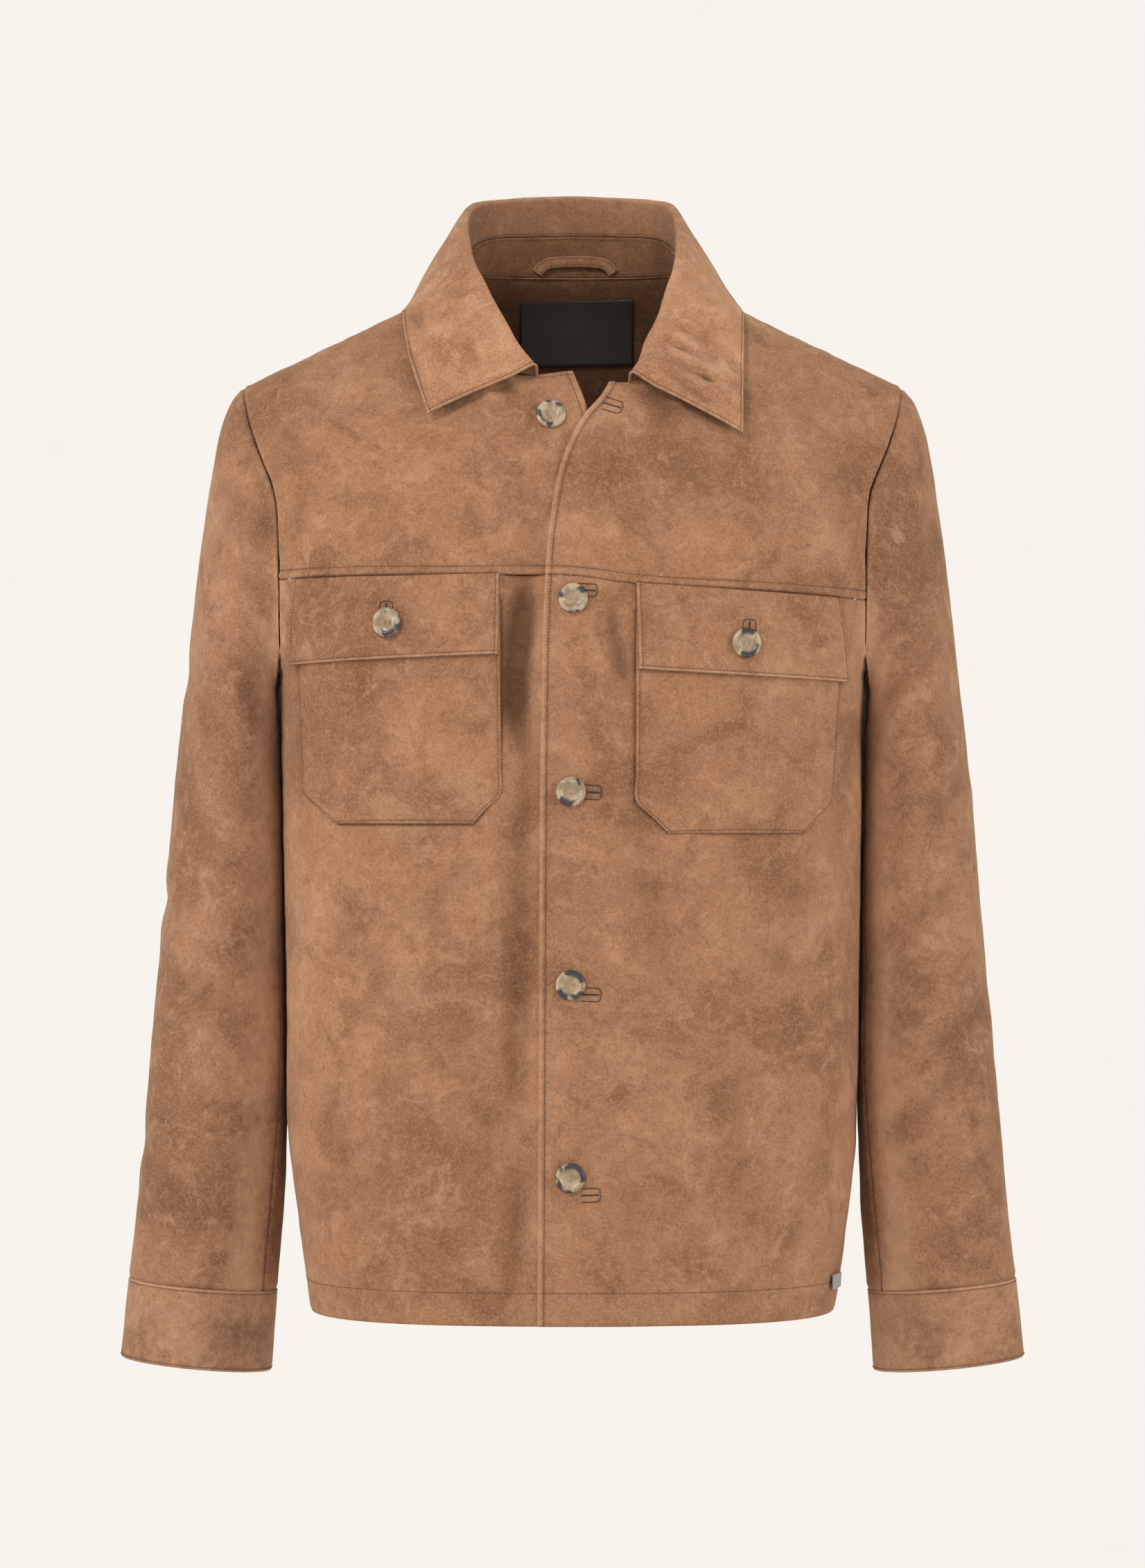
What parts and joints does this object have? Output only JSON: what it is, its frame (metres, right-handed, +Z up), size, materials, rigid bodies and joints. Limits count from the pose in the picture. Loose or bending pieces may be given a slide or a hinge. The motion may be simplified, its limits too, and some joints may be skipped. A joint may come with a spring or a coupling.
{
  "type": "leather overshirt",
  "caption": "Button-front suede overshirt filled out as worn, with yokes, turned-down collar, two flapped chest pockets and cuffed sleeves.",
  "frame": {"origin": "between the shoulders, level with the point where the shoulder line meets the collar", "axes": "+X towards the viewer's right, -Y out of the garment's front, +Z up"},
  "size_m": [0.6234, 0.2964, 0.8192],
  "materials": {
    "suede": "matte napped suede, mid tan brown with cloudy lighter and darker patches",
    "horn": "polished horn look, beige with blue-grey streaks",
    "black_satin": "black satin weave",
    "grey_tape": "silver-grey woven tape"
  },
  "bodies": {
    "root": {"front_yoke_left": "suede", "front_yoke_right": "suede", "front_lower_left": "suede", "front_lower_right": "suede", "back": "suede", "sleeve_upper_left": "suede", "sleeve_under_left": "suede", "cuff_left": "suede", "sleeve_upper_right": "suede", "sleeve_under_right": "suede", "cuff_right": "suede", "collar_stand": "suede", "collar": "suede", "pocket_left": "suede", "pocket_right": "suede", "flap_left": "suede", "flap_right": "suede", "button_1": "horn", "button_2": "horn", "button_3": "horn", "button_4": "horn", "button_5": "horn", "flap_button_left": "horn", "flap_button_right": "horn", "hanger_loop": "suede", "neck_label": "black_satin", "side_label": "grey_tape"}
  },
  "joints": []
}
